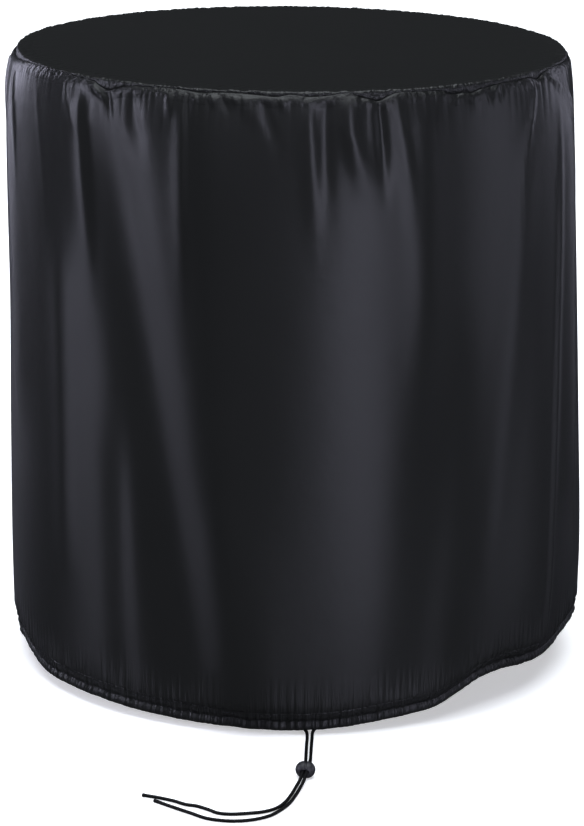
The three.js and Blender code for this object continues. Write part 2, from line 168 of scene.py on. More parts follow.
# Broad folds, a ridge or, below zero, a trough: azimuth at the top, azimuth at the foot, drop
# where it starts, drop where it ends, spread to the left, spread to the right, rise
FOLDS = (
    (-76, -70, -30, 330, 14, 32, 3.6),
    (-51, -48, 120, 460, 18, 22, 3.2),
    (-36, -33, 270, 560, 16, 14, -2.4),
    (-41.5, -15, -40, 555, 32, 30, -7),
    (-17.5, -9, -60, 600, 40, 48, 6.8),
    (-13, -7, 330, 600, 24, 30, 2.6),
    (1, -2, 90, 580, 40, 50, 2),
    (33, 23, 170, 580, 34, 26, -3),
    (54, 38, 12, 470, 18, 18, 2),
    (67, 58.5, 10, 560, 5, 4, 1.7),
    (74, 70, -20, 420, 32, 12, 5),
    (84, 80, 20, 500, 24, 24, -3.5),
    (102, 118, 15, 545, 24, 24, 4.5),
    (121, 131, 30, 540, 26, 26, -5),
    (143, 148, 10, 550, 26, 26, 4),
    (166, 170, 60, 550, 30, 30, -5),
    (-168, -172, 12, 550, 26, 26, 4.5),
    (-149, -140, 30, 540, 28, 28, -5),
    (-128, -117, 10, 545, 24, 24, 4.5),
    (-105, -97, 40, 530, 26, 26, -4),
)

# Tucks and creases under the seam, a ridge or, below zero, a trough: azimuths at its start,
# its middle and its end, drop where it starts, drop where it ends, spread to the left, spread to
# the right, rise
TUCKS = (
    (-74, -70, -69, 6, 110, 4, 3, 1.2),
    (-61, -57, -55, 8, 150, 4, 4, 0.35),
    (-50, -47, -43, 3, 60, 5, 4, 1.0),
    (-46, -43.5, -41, 3, 190, 22, 6, 3.2),
    (-43, -40, -36, 2, 24, 5, 4, 2.2),
    (-39, -38, -37, 2, 34, 4, 3, -1.8),
    (-32.5, -31, -28.5, 6, 70, 9, 7, -1.6),
    (-25, -24, -24, 0, 26, 5, 5, 1.2),
    (-21, -20.6, -20.2, 0, 190, 9, 4, 1.6),
    (-20.3, -20.2, -20, 0, 34, 2.6, 3, -1.2),
    (-16.2, -15.2, -14.4, 0, 14, 3, 3, 1.5),
    (-14, -13, -11.6, 0, 19, 3, 3, -1.6),
    (-11.6, -11, -10.4, 0, 12, 2.6, 2.6, 1.4),
    (-9, -8, -6, 1, 30, 8, 6, 1.4),
    (-5.9, -4, -1.7, 3, 56, 5, 5, -1.5),
    (-2.3, -2.1, -2, 0, 15, 3, 4, 1.6),
    (2.5, 3.7, 4.6, 4, 140, 8, 6, 1.6),
    (6.3, 6.2, 7.2, 2, 108, 7, 6, -2.2),
    (10.8, 11.6, 17, 0, 96, 8, 9, 3.6),
    (16.4, 17.3, 17.6, 4, 92, 6, 4, -2.6),
    (19.7, 22, 24.3, 0, 130, 8, 6, 1.6),
    (25, 25.5, 25, 2, 330, 15, 18, 1.8),
    (32.1, 32.1, 32.2, 0, 16, 5, 5, -1.8),
    (37, 37.5, 38, 0, 26, 6, 6, 1.2),
    (41, 41.4, 42.6, 0, 22, 2.4, 2.4, -1.3),
    (43.2, 43.3, 43.3, 0, 20, 4, 4, 1.5),
    (45.4, 45.2, 44.2, 0, 20, 2.4, 2.4, -1.3),
    (57, 51, 46, 8, 136, 4, 2.4, 1.2),
    (52.4, 55, 57, 2, 14, 3, 2.4, 1.2),
    (61, 68, 73, 2, 32, 4, 3.2, 1.8),
    (72.8, 77, 79, 24, 100, 4, 3.2, 1.6),
    (84, 86, 88, 2, 80, 7, 6, -2.6),
    (96, 97, 97, 1, 60, 6, 7, 2.2),
    (108, 110, 113, 1, 90, 8, 7, -2.8),
    (122, 121, 120, 2, 60, 6, 6, 2.0),
    (137, 140, 142, 1, 100, 7, 7, -2.6),
    (152, 153, 155, 1, 70, 7, 6, 2.2),
    (168, 167, 165, 2, 90, 8, 7, -2.8),
    (-172, -170, -169, 1, 60, 6, 6, 2.0),
    (-156, -157, -158, 1, 90, 7, 8, -2.6),
    (-141, -140, -138, 1, 70, 6, 6, 2.2),
    (-126, -124, -121, 2, 100, 8, 7, -3.0),
    (-112, -112, -113, 1, 60, 6, 7, 2.0),
    (-98, -96, -92, 1, 90, 7, 7, -2.6),
    (-86, -85, -83, 1, 70, 6, 5, 2.2),
)

# How folds and tucks begin and end, as shares of their length
FOLD_START, FOLD_END = 0.25, 0.15
TUCK_START, TUCK_END = 0.12, 0.6

# Uneven waves round the cover: fewest turns, most turns, how many waves, seed
WAVES = {
    "coarse gathers": (40, 110, 24, 5),
    "fine gathers": (110, 230, 24, 6),
    "pleats": (70, 190, 28, 7),
    "fine pleats": (190, 330, 24, 9),
    "hem's wobble": (20, 90, 18, 11),
    "rim's dips": (30, 80, 20, 21),
    "rim's puckers": (90, 240, 28, 22),
}

# Small crumples of the top next to its rim: the same four numbers, and the finest length across
CRUMPLES = {"turns": (60, 260, 36, 23), "finest": 6}

# The cord's two free ends, along their middle lines, in millimetres
LEFT_END = (
    (6.7, -256.7, -556.5), (9.5, -256.6, -556.6), (12.4, -256.4, -557.5), (14.8, -256.3, -559.3),
    (16.3, -257.4, -560.8), (17, -260.8, -561.7), (17.2, -270, -561.9), (16.7, -285, -561.9),
    (16.3, -303, -561.9), (15.9, -322, -561.3), (15.5, -338, -558.7), (15, -350.3, -556.3),
    (13.87, -359.2, -556.2), (12.7, -368.1, -556.3), (10.6, -378, -558.8), (6.9, -388.8, -561.4),
    (3.6, -402, -561.9), (-1.5, -418.6, -561.9), (-8.7, -431.5, -561.9), (-18.5, -439, -561.9),
    (-31.6, -442.9, -561.9), (-46, -445, -561.9), (-56.1, -442.9, -561.9), (-64.6, -435.4, -561.9),
    (-74.7, -428, -561.9), (-83.2, -425.2, -561.9), (-92.3, -418.4, -561.9), (-106, -411, -561.9),
    (-120.2, -405.3, -561.9),
)
RIGHT_END = (
    (32.4, -254.7, -556.5), (29.6, -255.1, -556.6), (26.6, -255.5, -557.4), (24, -255.9, -559.1),
    (22.4, -257.2, -560.8), (21.7, -260.8, -561.7), (21.4, -270, -561.9), (20.9, -285, -561.9),
    (20.4, -303, -561.9), (19.9, -322, -561.3), (19.2, -338, -558.7), (18.35, -350.7, -556.3),
    (17.13, -359.6, -556.2), (15.95, -368.5, -556.3), (14, -378.5, -558.8), (10.6, -389.6, -561.4),
    (7.2, -403, -561.9), (2.3, -420, -561.9), (-4.6, -434.5, -561.9), (-13.2, -447, -561.9),
    (-24.5, -455, -561.9), (-36, -458.8, -561.9), (-47.6, -459.4, -561.9), (-64, -455, -561.9),
    (-79.1, -443, -561.9), (-96, -429, -561.9), (-109.7, -417, -561.9),
)


def hump(offset, spread):
    """A rounded hill: e to the minus square of offset over spread."""
    return np.exp(-((offset / spread) ** 2))


def ease(value):
    """0 below 0, 1 above 1, and 3v² - 2v³ between."""
    v = np.clip(value, 0, 1)
    return v * v * (3 - 2 * v)


def mix(start, end, share):
    """The value at a share of the way from start to end."""
    return start + (end - start) * share


def turn_between(start, end):
    """The turn from one azimuth to another, from -180 to 180 degrees."""
    return (end - start + 180) % 360 - 180


def smooth_table(rows, column, at):
    """A smooth curve through a table's column: a cubic between each two rows, whose slope at a
    row is the mean of the straight slopes on its two sides."""
    key, value = np.array(rows, float)[:, [0, column]].T
    straight = np.diff(value) / np.diff(key)
    slope = np.concatenate([straight[:1], (straight[:-1] + straight[1:]) / 2, straight[-1:]])
    k = np.clip(np.searchsorted(key, at), 1, len(key) - 1)
    span = key[k] - key[k - 1]
    t = np.clip((at - key[k - 1]) / span, 0, 1)
    s = 1 - t
    ends = s * s * (1 + 2 * t) * value[k - 1] + t * t * (1 + 2 * s) * value[k]
    return ends + s * t * span * (s * slope[k - 1] - t * slope[k])


def ripples(azimuth, name):
    """Uneven waves round the cover: a sum of cosines, each with a whole number of turns from
    fewest to most, its own size and its own phase. Its usual size is about 1."""
    fewest, most, waves, seed = WAVES[name]
    rng = np.random.default_rng(seed)
    turns = rng.integers(fewest, most, waves)
    phase = rng.uniform(0, 2 * math.pi, waves)
    size = rng.normal(0, 1, waves) * math.sqrt(2 / waves)
    total = np.zeros_like(azimuth)
    for count, start, tall in zip(turns, phase, size):
        total += tall * np.cos(np.radians(azimuth) * count + start)
    return total


def ridges(azimuth, name):
    """Rounded ridges with narrow valleys between them: the size of an uneven wave."""
    return np.abs(ripples(azimuth, name)) ** 0.8 - 0.6


def all_round(rows):
    """The rows of a table three times, a full turn apart, so that a curve through it closes."""
    return [(row[0] + turn, *row[1:]) for turn in (-360, 0, 360) for row in rows]


HEM_ROUND = all_round(HEM_LINE)
SEAM_ROUND = all_round(SEAM_LINE)


def hem_line(azimuth):
    """Drop and radius of the hem's lower edge."""
    return smooth_table(HEM_ROUND, 1, azimuth), smooth_table(HEM_ROUND, 2, azimuth)


def crumple(azimuth, across):
    """Small crumples: a sum of cosines that run round and across at once, each with a whole number
    of turns round and its own length across in millimetres, finest or longer."""
    fewest, most, waves, seed = CRUMPLES["turns"]
    finest = CRUMPLES["finest"]
    rng = np.random.default_rng(seed)
    turns = rng.integers(fewest, most, waves)
    length = rng.uniform(finest, 4 * finest, waves) * rng.choice([-1, 1], waves)
    phase = rng.uniform(0, 2 * math.pi, waves)
    size = rng.normal(0, 1, waves) * math.sqrt(2 / waves)
    total = np.zeros(np.broadcast(azimuth, across).shape)
    for count, long, start, tall in zip(turns, length, phase, size):
        total += tall * np.cos(np.radians(azimuth) * count + across * 2 * math.pi / long + start)
    return total


def seam_line(azimuth):
    """Drop and radius of the seam."""
    radius = SEAM["radius"] - SEAM["right_in"] * np.sin(np.radians(azimuth))
    return smooth_table(SEAM_ROUND, 1, azimuth), radius


def broad_folds(azimuth, drop, radius):
    """Sum of the folds: each a hump across, on a line from its top to its foot, eased in and out
    along it, with a spread of its own on each side."""
    rise = np.zeros_like(drop)
    for top, foot, start, end, left, right, height in FOLDS:
        t = (drop - start) / (end - start)
        along = ease(t / FOLD_START) * ease((1 - t) / FOLD_END)
        arc = np.radians(turn_between(mix(top, foot, t), azimuth)) * radius
        rise += height * along * hump(arc, np.where(arc < 0, left, right))
    return rise


def tucks(azimuth, drop, below, radius):
    """Sum of the tucks: each a hump across, on a line bent evenly through its three azimuths,
    opening just below the seam and fading over its lower part."""
    rise = np.zeros_like(drop)
    for first, middle, last, start, end, left, right, height in TUCKS:
        t = np.clip((drop - start) / (end - start), 0, 1)
        line = mix(first, last, t) + (4 * middle - 2 * first - 2 * last) * t * (1 - t)
        along = ease(t / TUCK_START) * ease((1 - t) / TUCK_END)
        arc = np.radians(turn_between(line, azimuth)) * radius
        rise += height * along * hump(arc, np.where(arc < 0, left, right))
    return rise * ease(below / 3)


def gathers(azimuth, below, above):
    """The even gathering: ridges that are strongest at the seam and at the stitching of the hem,
    and fall off with the distance from them, as e to the minus distance over a reach."""
    coarse = ridges(azimuth, "coarse gathers")
    fine = ridges(azimuth, "fine gathers")
    pleats = ridges(azimuth, "pleats")
    at_seam = 0.5 * coarse * np.exp(-below / 12) + 0.4 * fine * np.exp(-below / 6)
    past = np.clip(above - CASING["height"], 0, None)
    at_hem = 0.9 * pleats * np.exp(-past / 11) + 0.5 * fine * np.exp(-past / 6)
    return at_seam * ease(below / 4) + at_hem * ease(past / 1.5)


def wall_radius(azimuth, drop):
    """Outside radius of the wall: the curve of WALL, drawn in to the hem by a parabola, with the
    folds, tucks and gathers on it, all rounded out from the seam by a quarter circle mixed with
    a slower curve, 1 less e to the minus distance over its reach."""
    seam_drop, seam_radius = seam_line(azimuth)
    hem_drop, hem_radius = hem_line(azimuth)
    left = smooth_table(WALL, 1, drop)
    right = smooth_table(WALL, 2, drop)
    full = (left + right) / 2 + (right - left) / 2 * np.sin(np.radians(azimuth))
    below, above = drop - seam_drop, hem_drop - drop
    t = np.clip((above - CASING["upright"]) / CASING["drawn_over"], 0, 1)
    drawn = mix(hem_radius, full, 1 - (1 - t) ** 2)
    folds = broad_folds(azimuth, drop, full) + tucks(azimuth, drop, below, full)
    folds *= ease((above - CASING["upright"]) / CASING["height"])
    out = np.clip(below / SHOULDER["radius"], 0, 1)
    quarter, slow = np.sqrt(1 - (1 - out) ** 2), 1 - np.exp(-below / SHOULDER["reach"])
    rounded = SHOULDER["share"] * quarter + (1 - SHOULDER["share"]) * slow
    relief = folds + gathers(azimuth, below, above)
    return mix(seam_radius + SEAM["side_out"], drawn + relief, rounded)


def around(azimuth, radius, height):
    """Points in metres from azimuth in degrees, radius and height in millimetres."""
    turned = np.radians(azimuth)
    x = radius * np.sin(turned)
    y = -radius * np.cos(turned)
    return np.stack(np.broadcast_arrays(x, y, height), axis=-1) * MM


def ring_mesh(name, points, steps, uv_height, uv_width, closed):
    """A surface from a grid of rows round the cover, whose last column repeats the first. Row k
    keeps each steps[k]th column; neighbouring rows have the same step, or one twice the other's,
    and then three triangles join each pair of the finer row's edges. A closed surface joins its
    last row to its first. uv_height is each row's height and uv_width the way round, in metres."""
    columns = points.shape[1] - 1
    counts = [columns // step for step in steps]
    starts = np.concatenate([[0], np.cumsum(counts)[:-1]])
    places = np.concatenate([points[k, :-1:step] for k, step in enumerate(steps)])
    quads, threes = [], []
    pairs = [(k, k + 1) for k in range(len(steps) - 1)] + ([(len(steps) - 1, 0)] if closed else [])
    for a, b in pairs:
        if steps[a] == steps[b]:
            c = np.arange(0, columns, steps[a])
            d = c + steps[a]
            quads.append([(a, c), (b, c), (b, d), (a, d)])
        elif steps[a] < steps[b]:
            c = np.arange(0, columns, steps[b])
            m, d = c + steps[a], c + steps[b]
            threes += [[(a, c), (b, c), (a, m)], [(a, m), (b, c), (b, d)], [(a, m), (b, d), (a, d)]]
        else:
            c = np.arange(0, columns, steps[a])
            m, d = c + steps[b], c + steps[a]
            threes += [[(a, c), (b, c), (b, m)], [(a, c), (b, m), (a, d)], [(a, d), (b, m), (b, d)]]

    def corners(groups, of_corner):
        return np.concatenate([np.stack([of_corner(*c) for c in g], axis=1) for g in groups])

    def vertex(row, column):
        return starts[row] + (column % columns) // steps[row]

    def uv(row, column):
        high = np.full(len(column), uv_height[row])
        return np.stack([column / columns * uv_width, high], axis=-1)

    groups = [g for g in (quads, threes) if g]
    faces = [face for g in groups for face in corners(g, vertex).tolist()]
    mesh = bpy.data.meshes.new(name)
    mesh.from_pydata(places.tolist(), [], faces)
    flat_uv = np.concatenate([corners(g, uv).reshape(-1, 2) for g in groups])
    layer = mesh.uv_layers.new(name="cloth")
    layer.uv.foreach_set("vector", flat_uv.ravel().astype(np.float32))
    mesh.shade_smooth()
    return add_piece(name, mesh)


def add_piece(name, mesh):
    """An object of the mesh, at the origin."""
    piece = bpy.data.objects.new(name, mesh)
    bpy.context.scene.collection.objects.link(piece)
    return piece


def smooth_path(points, spacing):
    """A curve through the points, as a rope lies: between two points a cubic whose slopes come
    from the neighbours, each weighted by the square root of its distance. Cut evenly."""
    p = np.array(points, float)
    p = np.vstack([2 * p[0] - p[1], p, 2 * p[-1] - p[-2]])
    gap = np.sqrt(np.linalg.norm(np.diff(p, axis=0), axis=1))[:, None]
    p0, p1, p2, p3 = p[:-3], p[1:-2], p[2:-1], p[3:]
    g0, g1, g2 = gap[:-2], gap[1:-1], gap[2:]
    m1 = ((p1 - p0) / g0 - (p2 - p0) / (g0 + g1) + (p2 - p1) / g1) * g1
    m2 = ((p2 - p1) / g1 - (p3 - p1) / (g1 + g2) + (p3 - p2) / g2) * g1
    t = np.linspace(0, 1, 24, endpoint=False)[None, :, None]
    p1, p2, m1, m2 = (v[:, None, :] for v in (p1, p2, m1, m2))
    curve = (
        p1 + m1 * t + (3 * (p2 - p1) - 2 * m1 - m2) * t**2 + (2 * (p1 - p2) + m1 + m2) * t**3
    ).reshape(-1, 3)
    curve = np.vstack([curve, p[-2]])
    long = np.concatenate([[0], np.cumsum(np.linalg.norm(np.diff(curve, axis=0), axis=1))])
    even = np.linspace(0, long[-1], round(long[-1] / spacing) + 1)
    return np.stack([np.interp(even, long, curve[:, k]) for k in range(3)], axis=1), even


def braided_tube(name, path, even, sides, flare):
    """A round braid along a path: rings square to it, with the radius raised where the strands
    of one hand cross over the other's, by the product of two sines along the two spirals. Its
    ends are closed, and the last few millimetres may flare."""
    ahead = np.gradient(path, axis=0)
    ahead /= np.linalg.norm(ahead, axis=1, keepdims=True)
    side = np.cross(ahead, (0, 0, 1))
    side /= np.linalg.norm(side, axis=1, keepdims=True)
    up = np.cross(side, ahead)
    turn = np.linspace(0, 2 * math.pi, sides, endpoint=False)[None, :]
    along = even[:, None]
    spiral = 2 * math.pi * along / BRAID["repeat"]
    strand = BRAID["strands"] * turn
    over = np.sin(strand + spiral) * np.sin(strand - spiral)
    to_end = even[-1] - even
    near_end = np.clip(np.minimum(even, to_end) / BRAID["end"], 0, 1)
    cap = np.sqrt(np.clip(1 - (1 - near_end) ** 2, 0.02, 1))
    size = (1 + flare * np.exp(-to_end / 3))[:, None] * cap[:, None]
    radius = (CORD["diameter"] / 2 - BRAID["less"] + BRAID["relief"] * over) * size
    ring = np.cos(turn)[..., None] * side[:, None] + np.sin(turn)[..., None] * up[:, None]
    points = (path[:, None] + radius[..., None] * ring).reshape(-1, 3)
    rows = len(path)
    a = (np.arange(rows - 1)[:, None] * sides + np.arange(sides)).ravel()
    b = (np.arange(rows - 1)[:, None] * sides + (np.arange(sides) + 1) % sides).ravel()
    faces = np.stack([a, b, b + sides, a + sides], axis=1).tolist()
    faces.append(list(range(sides))[::-1])
    faces.append(list(range((rows - 1) * sides, rows * sides)))
    mesh = bpy.data.meshes.new(name)
    mesh.from_pydata((points * MM).tolist(), [], faces)
    mesh.shade_smooth()
    turn_uv = np.tile(np.arange(sides), rows - 1) / sides
    u = np.stack([turn_uv, turn_uv + 1 / sides, turn_uv + 1 / sides, turn_uv], axis=1)
    low = np.repeat(even[:-1], sides) * MM
    high = np.repeat(even[1:], sides) * MM
    v = np.stack([low, low, high, high], axis=1)
    on_sides = np.stack([u * WAY_ROUND["cord"], v], axis=-1).ravel()
    flat = np.concatenate([on_sides, np.zeros(4 * sides)])
    layer = mesh.uv_layers.new(name="braid")
    layer.uv.foreach_set("vector", flat.astype(np.float32))
    return add_piece(name, mesh)


# Camera
camera_data = bpy.data.cameras.new("camera")
camera_data.lens = CAMERA["lens"]
camera_data.sensor_width = 36
camera = bpy.data.objects.new("camera", camera_data)
bpy.context.scene.collection.objects.link(camera)
camera.matrix_world = (
    Matrix.Translation(CAMERA["place"])
    @ Matrix.Rotation(math.pi / 2 - CAMERA["down"], 4, "X")
    @ Matrix.Rotation(CAMERA["lean"], 4, "Z")
)
bpy.context.scene.camera = camera
bpy.context.scene.view_settings.view_transform = "Standard"


# Materials
def new_material(name, colour, roughness, specular, sheen=0.0):
    """A plain material and its shader, with the values that all finishes share."""
    material = bpy.data.materials.new(name)
    material.use_nodes = True
    shader = material.node_tree.nodes["Principled BSDF"]
    shader.inputs["Base Color"].default_value = (*colour, 1)
    shader.inputs["Roughness"].default_value = roughness
    shader.inputs["Specular IOR Level"].default_value = specular
    shader.inputs["Sheen Weight"].default_value = sheen
    shader.inputs["Sheen Roughness"].default_value = 0.35
    shader.inputs["Sheen Tint"].default_value = (0.72, 0.74, 1, 1)
    return material, shader


def add_node(material, kind, inputs=None, **settings):
    """A node with its settings, whose inputs are linked to a socket or set to a value."""
    node = material.node_tree.nodes.new(kind)
    for key, value in settings.items():
        setattr(node, key, value)
    for key, value in (inputs or {}).items():
        if isinstance(value, bpy.types.NodeSocket):
            material.node_tree.links.new(value, node.inputs[key])
        else:
            node.inputs[key].default_value = value
    return node


def bump(material, height, distance, strength, under=None):
    """A relief of that height, in metres, laid over the one under it."""
    inputs = {"Height": height, "Distance": distance, "Strength": strength}
    if under is not None:
        inputs["Normal"] = under
    return add_node(material, "ShaderNodeBump", inputs).outputs["Normal"]


def near(material, height, middle, reach):
    """1 where the cloth's own height is at middle, down to 0 at that reach from it."""
    off = add_node(material, "ShaderNodeMath", {0: height, 1: middle}, operation="SUBTRACT")
    far = add_node(material, "ShaderNodeMath", {0: off.outputs[0]}, operation="ABSOLUTE")
    return add_node(
        material, "ShaderNodeMapRange",
        {"Value": far.outputs[0], "From Min": 0.0, "From Max": reach, "To Min": 1.0, "To Max": 0.0},
    ).outputs["Result"]


def masked(material, height, mask):
    """A bump's height times a mask from 0 to 1."""
    inputs = {0: height, 1: mask}
    return add_node(material, "ShaderNodeMath", inputs, operation="MULTIPLY").outputs[0]


# How far the crumples of the seam and the streaks of the hem's stitching reach over the cloth,
# and a place away from the cloth, where a piece that lacks one of them has it. All in metres.
SEAM_BAND, HEM_BAND = 0.012, 0.03
AWAY = -1.0


def coated_cloth(name, lengthwise, seam_at, hem_at):
    """Near-black coated polyester: a plain weave under a thin satin coat, faintly crinkled, its
    colour a little uneven. Lengthwise, the coat's gloss runs up and down the hanging cloth. It is
    crumpled next to the seam, and streaked up and down next to the hem's stitching, at those
    places on the cloth's own height."""
    material, shader = new_material(name, (0.006, 0.006, 0.006), 0.42, 0.3)
    shader.inputs["Anisotropic"].default_value = lengthwise
    shader.inputs["Anisotropic Rotation"].default_value = 0.25
    links = material.node_tree.links
    place = add_node(material, "ShaderNodeTexCoord")
    uv = add_node(material, "ShaderNodeUVMap", uv_map="cloth").outputs["UV"]
    weft = add_node(
        material, "ShaderNodeTexWave", {"Vector": uv, "Scale": 520.0}, bands_direction="X"
    )
    warp = add_node(
        material, "ShaderNodeTexWave", {"Vector": uv, "Scale": 520.0}, bands_direction="Y"
    )
    weave = add_node(
        material, "ShaderNodeMath", {0: weft.outputs["Fac"], 1: warp.outputs["Fac"]},
        operation="MULTIPLY",
    )
    crinkle = add_node(
        material, "ShaderNodeTexNoise",
        {"Vector": place.outputs["Object"], "Scale": 55.0, "Detail": 4.0, "Roughness": 0.55},
    )
    normal = bump(material, weave.outputs[0], 0.00003, 0.5)
    normal = bump(material, crinkle.outputs["Fac"], 0.0006, 0.35, normal)
    height = add_node(material, "ShaderNodeSeparateXYZ", {"Vector": uv}).outputs["Y"]
    crumples = add_node(
        material, "ShaderNodeTexNoise",
        {"Vector": place.outputs["Object"], "Scale": 170.0, "Detail": 2.0, "Roughness": 0.5},
    )
    at_seam = masked(material, crumples.outputs["Fac"], near(material, height, seam_at, SEAM_BAND))
    normal = bump(material, at_seam, 0.003, 0.8, normal)
    drawn = add_node(material, "ShaderNodeMapping", {"Vector": uv, "Scale": (420.0, 26.0, 1.0)})
    streaks = add_node(
        material, "ShaderNodeTexNoise",
        {"Vector": drawn.outputs["Vector"], "Scale": 1.0, "Detail": 2.0, "Roughness": 0.6},
    )
    at_hem = masked(material, streaks.outputs["Fac"], near(material, height, hem_at, HEM_BAND))
    normal = bump(material, at_hem, 0.0016, 0.8, normal)
    links.new(normal, shader.inputs["Normal"])
    patches = add_node(
        material, "ShaderNodeTexNoise",
        {"Vector": place.outputs["Object"], "Scale": 7.0, "Detail": 3.0, "Roughness": 0.5},
    )
    colour = add_node(
        material, "ShaderNodeMix", {"Factor": patches.outputs["Fac"]}, data_type="RGBA"
    )
    colour.inputs[6].default_value = (0.0056, 0.0059, 0.0058, 1)
    colour.inputs[7].default_value = (0.0070, 0.0074, 0.0072, 1)
    links.new(colour.outputs[2], shader.inputs["Base Color"])
    return material


def braid_fibre():
    """Matt black yarn: fine filaments along the strands of the braid."""
    material, shader = new_material("braided cord", (0.002, 0.002, 0.0022), 0.55, 0.15)
    uv = add_node(material, "ShaderNodeUVMap", uv_map="braid").outputs["UV"]
    yarn = add_node(
        material, "ShaderNodeTexWave", {"Vector": uv, "Scale": 700.0, "Distortion": 1.5},
        bands_direction="DIAGONAL",
    )
    normal = bump(material, yarn.outputs["Fac"], 0.00008, 0.6)
    material.node_tree.links.new(normal, shader.inputs["Normal"])
    return material


def satin_plastic():
    """Dark satin plastic with the faint grain of its mould."""
    material, shader = new_material("satin plastic", (0.014, 0.014, 0.017), 0.5, 0.4)
    place = add_node(material, "ShaderNodeTexCoord")
    grain = add_node(
        material, "ShaderNodeTexNoise",
        {"Vector": place.outputs["Object"], "Scale": 1800.0, "Detail": 2.0},
    )
    normal = bump(material, grain.outputs["Fac"], 0.00002, 0.5)
    material.node_tree.links.new(normal, shader.inputs["Normal"])
    return material


HANGING_FINISH = coated_cloth("hanging cloth", lengthwise=0.7, seam_at=0.006, hem_at=0.551)
CASING_FINISH = coated_cloth("casing cloth", lengthwise=0.7, seam_at=AWAY, hem_at=0.008)
TAUT_FINISH = coated_cloth("taut cloth", lengthwise=0, seam_at=0.246, hem_at=AWAY)
CORD_FINISH = braid_fibre()
STOPPER_FINISH = satin_plastic()
THREAD_FINISH, _ = new_material("thread", (0.012, 0.012, 0.014), 0.6, 0.3, sheen=0.1)


def finish(piece, material):
    """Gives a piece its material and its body."""
    piece.data.materials.append(material)
    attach(piece, "root")


# Cords
def free_end(name, node, points):
    """A free end of the cord along its points, its tip a little flared."""
    path, even = smooth_path(points, 0.5)
    piece = braided_tube(name, path, even, 18, flare=0.18)
    finish(piece, CORD_FINISH)
    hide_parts(node)
    return piece, path, even[-1]


left_tail, left_path, left_long = free_end("left_tail", "cord_tail_left", LEFT_END)
right_tail, right_path, right_long = free_end("right_tail", "cord_tail_right", RIGHT_END)


def loop_in_casing():
    """The cord round the inside of the casing, from one side of the slit to the other."""
    start = SLIT["azimuth"] + CORD["stops_at"]
    azimuth = np.linspace(start, SLIT["azimuth"] + 360 - CORD["stops_at"], 1400)
    azimuth = np.where(azimuth > 360, azimuth - 360, azimuth)
    drop, radius = hem_line(azimuth)
    path = around(azimuth, radius - CORD["inside_edge"], CORD["above_edge"] - drop) / MM
    even = np.concatenate([[0], np.cumsum(np.linalg.norm(np.diff(path, axis=0), axis=1))])
    return braided_tube("cord_in_casing", path, even, 12, flare=0.0)


cord_in_casing = loop_in_casing()
finish(cord_in_casing, CORD_FINISH)
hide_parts("drawstring")


# Stopper
def oval(turn, radius, apart):
    """A rounded slot: half circles of that radius, their centres apart."""
    x, z = np.cos(turn), np.sin(turn)
    return radius * x + np.sign(x) * np.abs(x) ** 0.25 * apart / 2, radius * z


def ball_stopper():
    """A ball with an oval hole. Rings run from the hole's edge at the front, over the widest
    ring, to its edge at the back, and return through the hole. A point stands over its place
    across the hole at the height of a round-ended bar, and is drawn in at the groove."""
    body, centre = STOPPER["radius"], STOPPER["half_length"] - STOPPER["radius"]
    turn = np.linspace(0, 2 * math.pi, 160, endpoint=False)[None, :]
    share = np.linspace(0, 1, 34)[:, None]
    hole_x, hole_z = oval(turn, STOPPER["hole_radius"], STOPPER["strands_apart"])
    wide_x, wide_z = oval(turn, body, 2 * centre)
    out = np.sin(share * math.pi / 2)
    x, z = mix(hole_x, wide_x, out), mix(hole_z, wide_z, out)
    past = np.clip(np.abs(x) - centre, 0, None)
    y = np.sqrt(np.clip(body**2 - z**2 - past**2, 0, None))
    y[-1] = 0
    lip = 0.35 * np.exp(-share * 30)
    front = np.stack([x, y - lip, z], axis=-1)
    back = np.stack([x, -y + lip, z], axis=-1)[-2::-1]
    inside = np.stack(np.broadcast_arrays(hole_x, np.linspace(-5.5, 5.5, 6)[:, None], hole_z), -1)
    grid = np.concatenate([front, back, inside])
    off_groove = grid[..., 0] - STOPPER["groove_at"]
    groove = STOPPER["groove_depth"] * hump(off_groove, STOPPER["groove_width"])
    far = np.linalg.norm(grid[..., 1:], axis=-1)
    keep = ease((far - 4) / 2)
    shrink = 1 - keep * groove / np.maximum(far, 1)
    grid[..., 1:] *= shrink[..., None]
    rows, columns = grid.shape[:2]
    r, c = np.meshgrid(np.arange(rows), np.arange(columns), indexing="ij")
    r2, c2 = (r + 1) % rows, (c + 1) % columns
    faces = np.stack([r * columns + c, r2 * columns + c, r2 * columns + c2, r * columns + c2], -1)
    mesh = bpy.data.meshes.new("stopper_ball")
    turned = math.radians(STOPPER["turned"])
    x, y, z = np.moveaxis(grid, -1, 0)
    placed = np.stack([
        x * math.cos(turned) - y * math.sin(turned),
        x * math.sin(turned) + y * math.cos(turned),
        z,
    ], -1) + STOPPER["centre"]
    mesh.from_pydata((placed.reshape(-1, 3) * MM).tolist(), [], faces.reshape(-1, 4).tolist())
    mesh.shade_smooth()
    return add_piece("stopper_ball", mesh)


stopper_ball = ball_stopper()
finish(stopper_ball, STOPPER_FINISH)
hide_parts("ball_stopper")

# Side cloth: rows below the seam, between, and above the hem's edge, with each row's step
COLUMNS = 1536
BELOW_SEAM = (0, 0.4, 1, 1.9, 3.1, 4.6, 6.5, 9, 12, 15.5, 20, 25.5, 32, 40, 50, 62, 76, 94, 116)
ROWS_BETWEEN = 11
ABOVE_HEM = (112, 90, 70, 56, 46, 38.5, 33, 28.5, 25, 22.3, 20.4, 19.2, 18.3)
FINE_BELOW, FINE_ABOVE = 36, 46


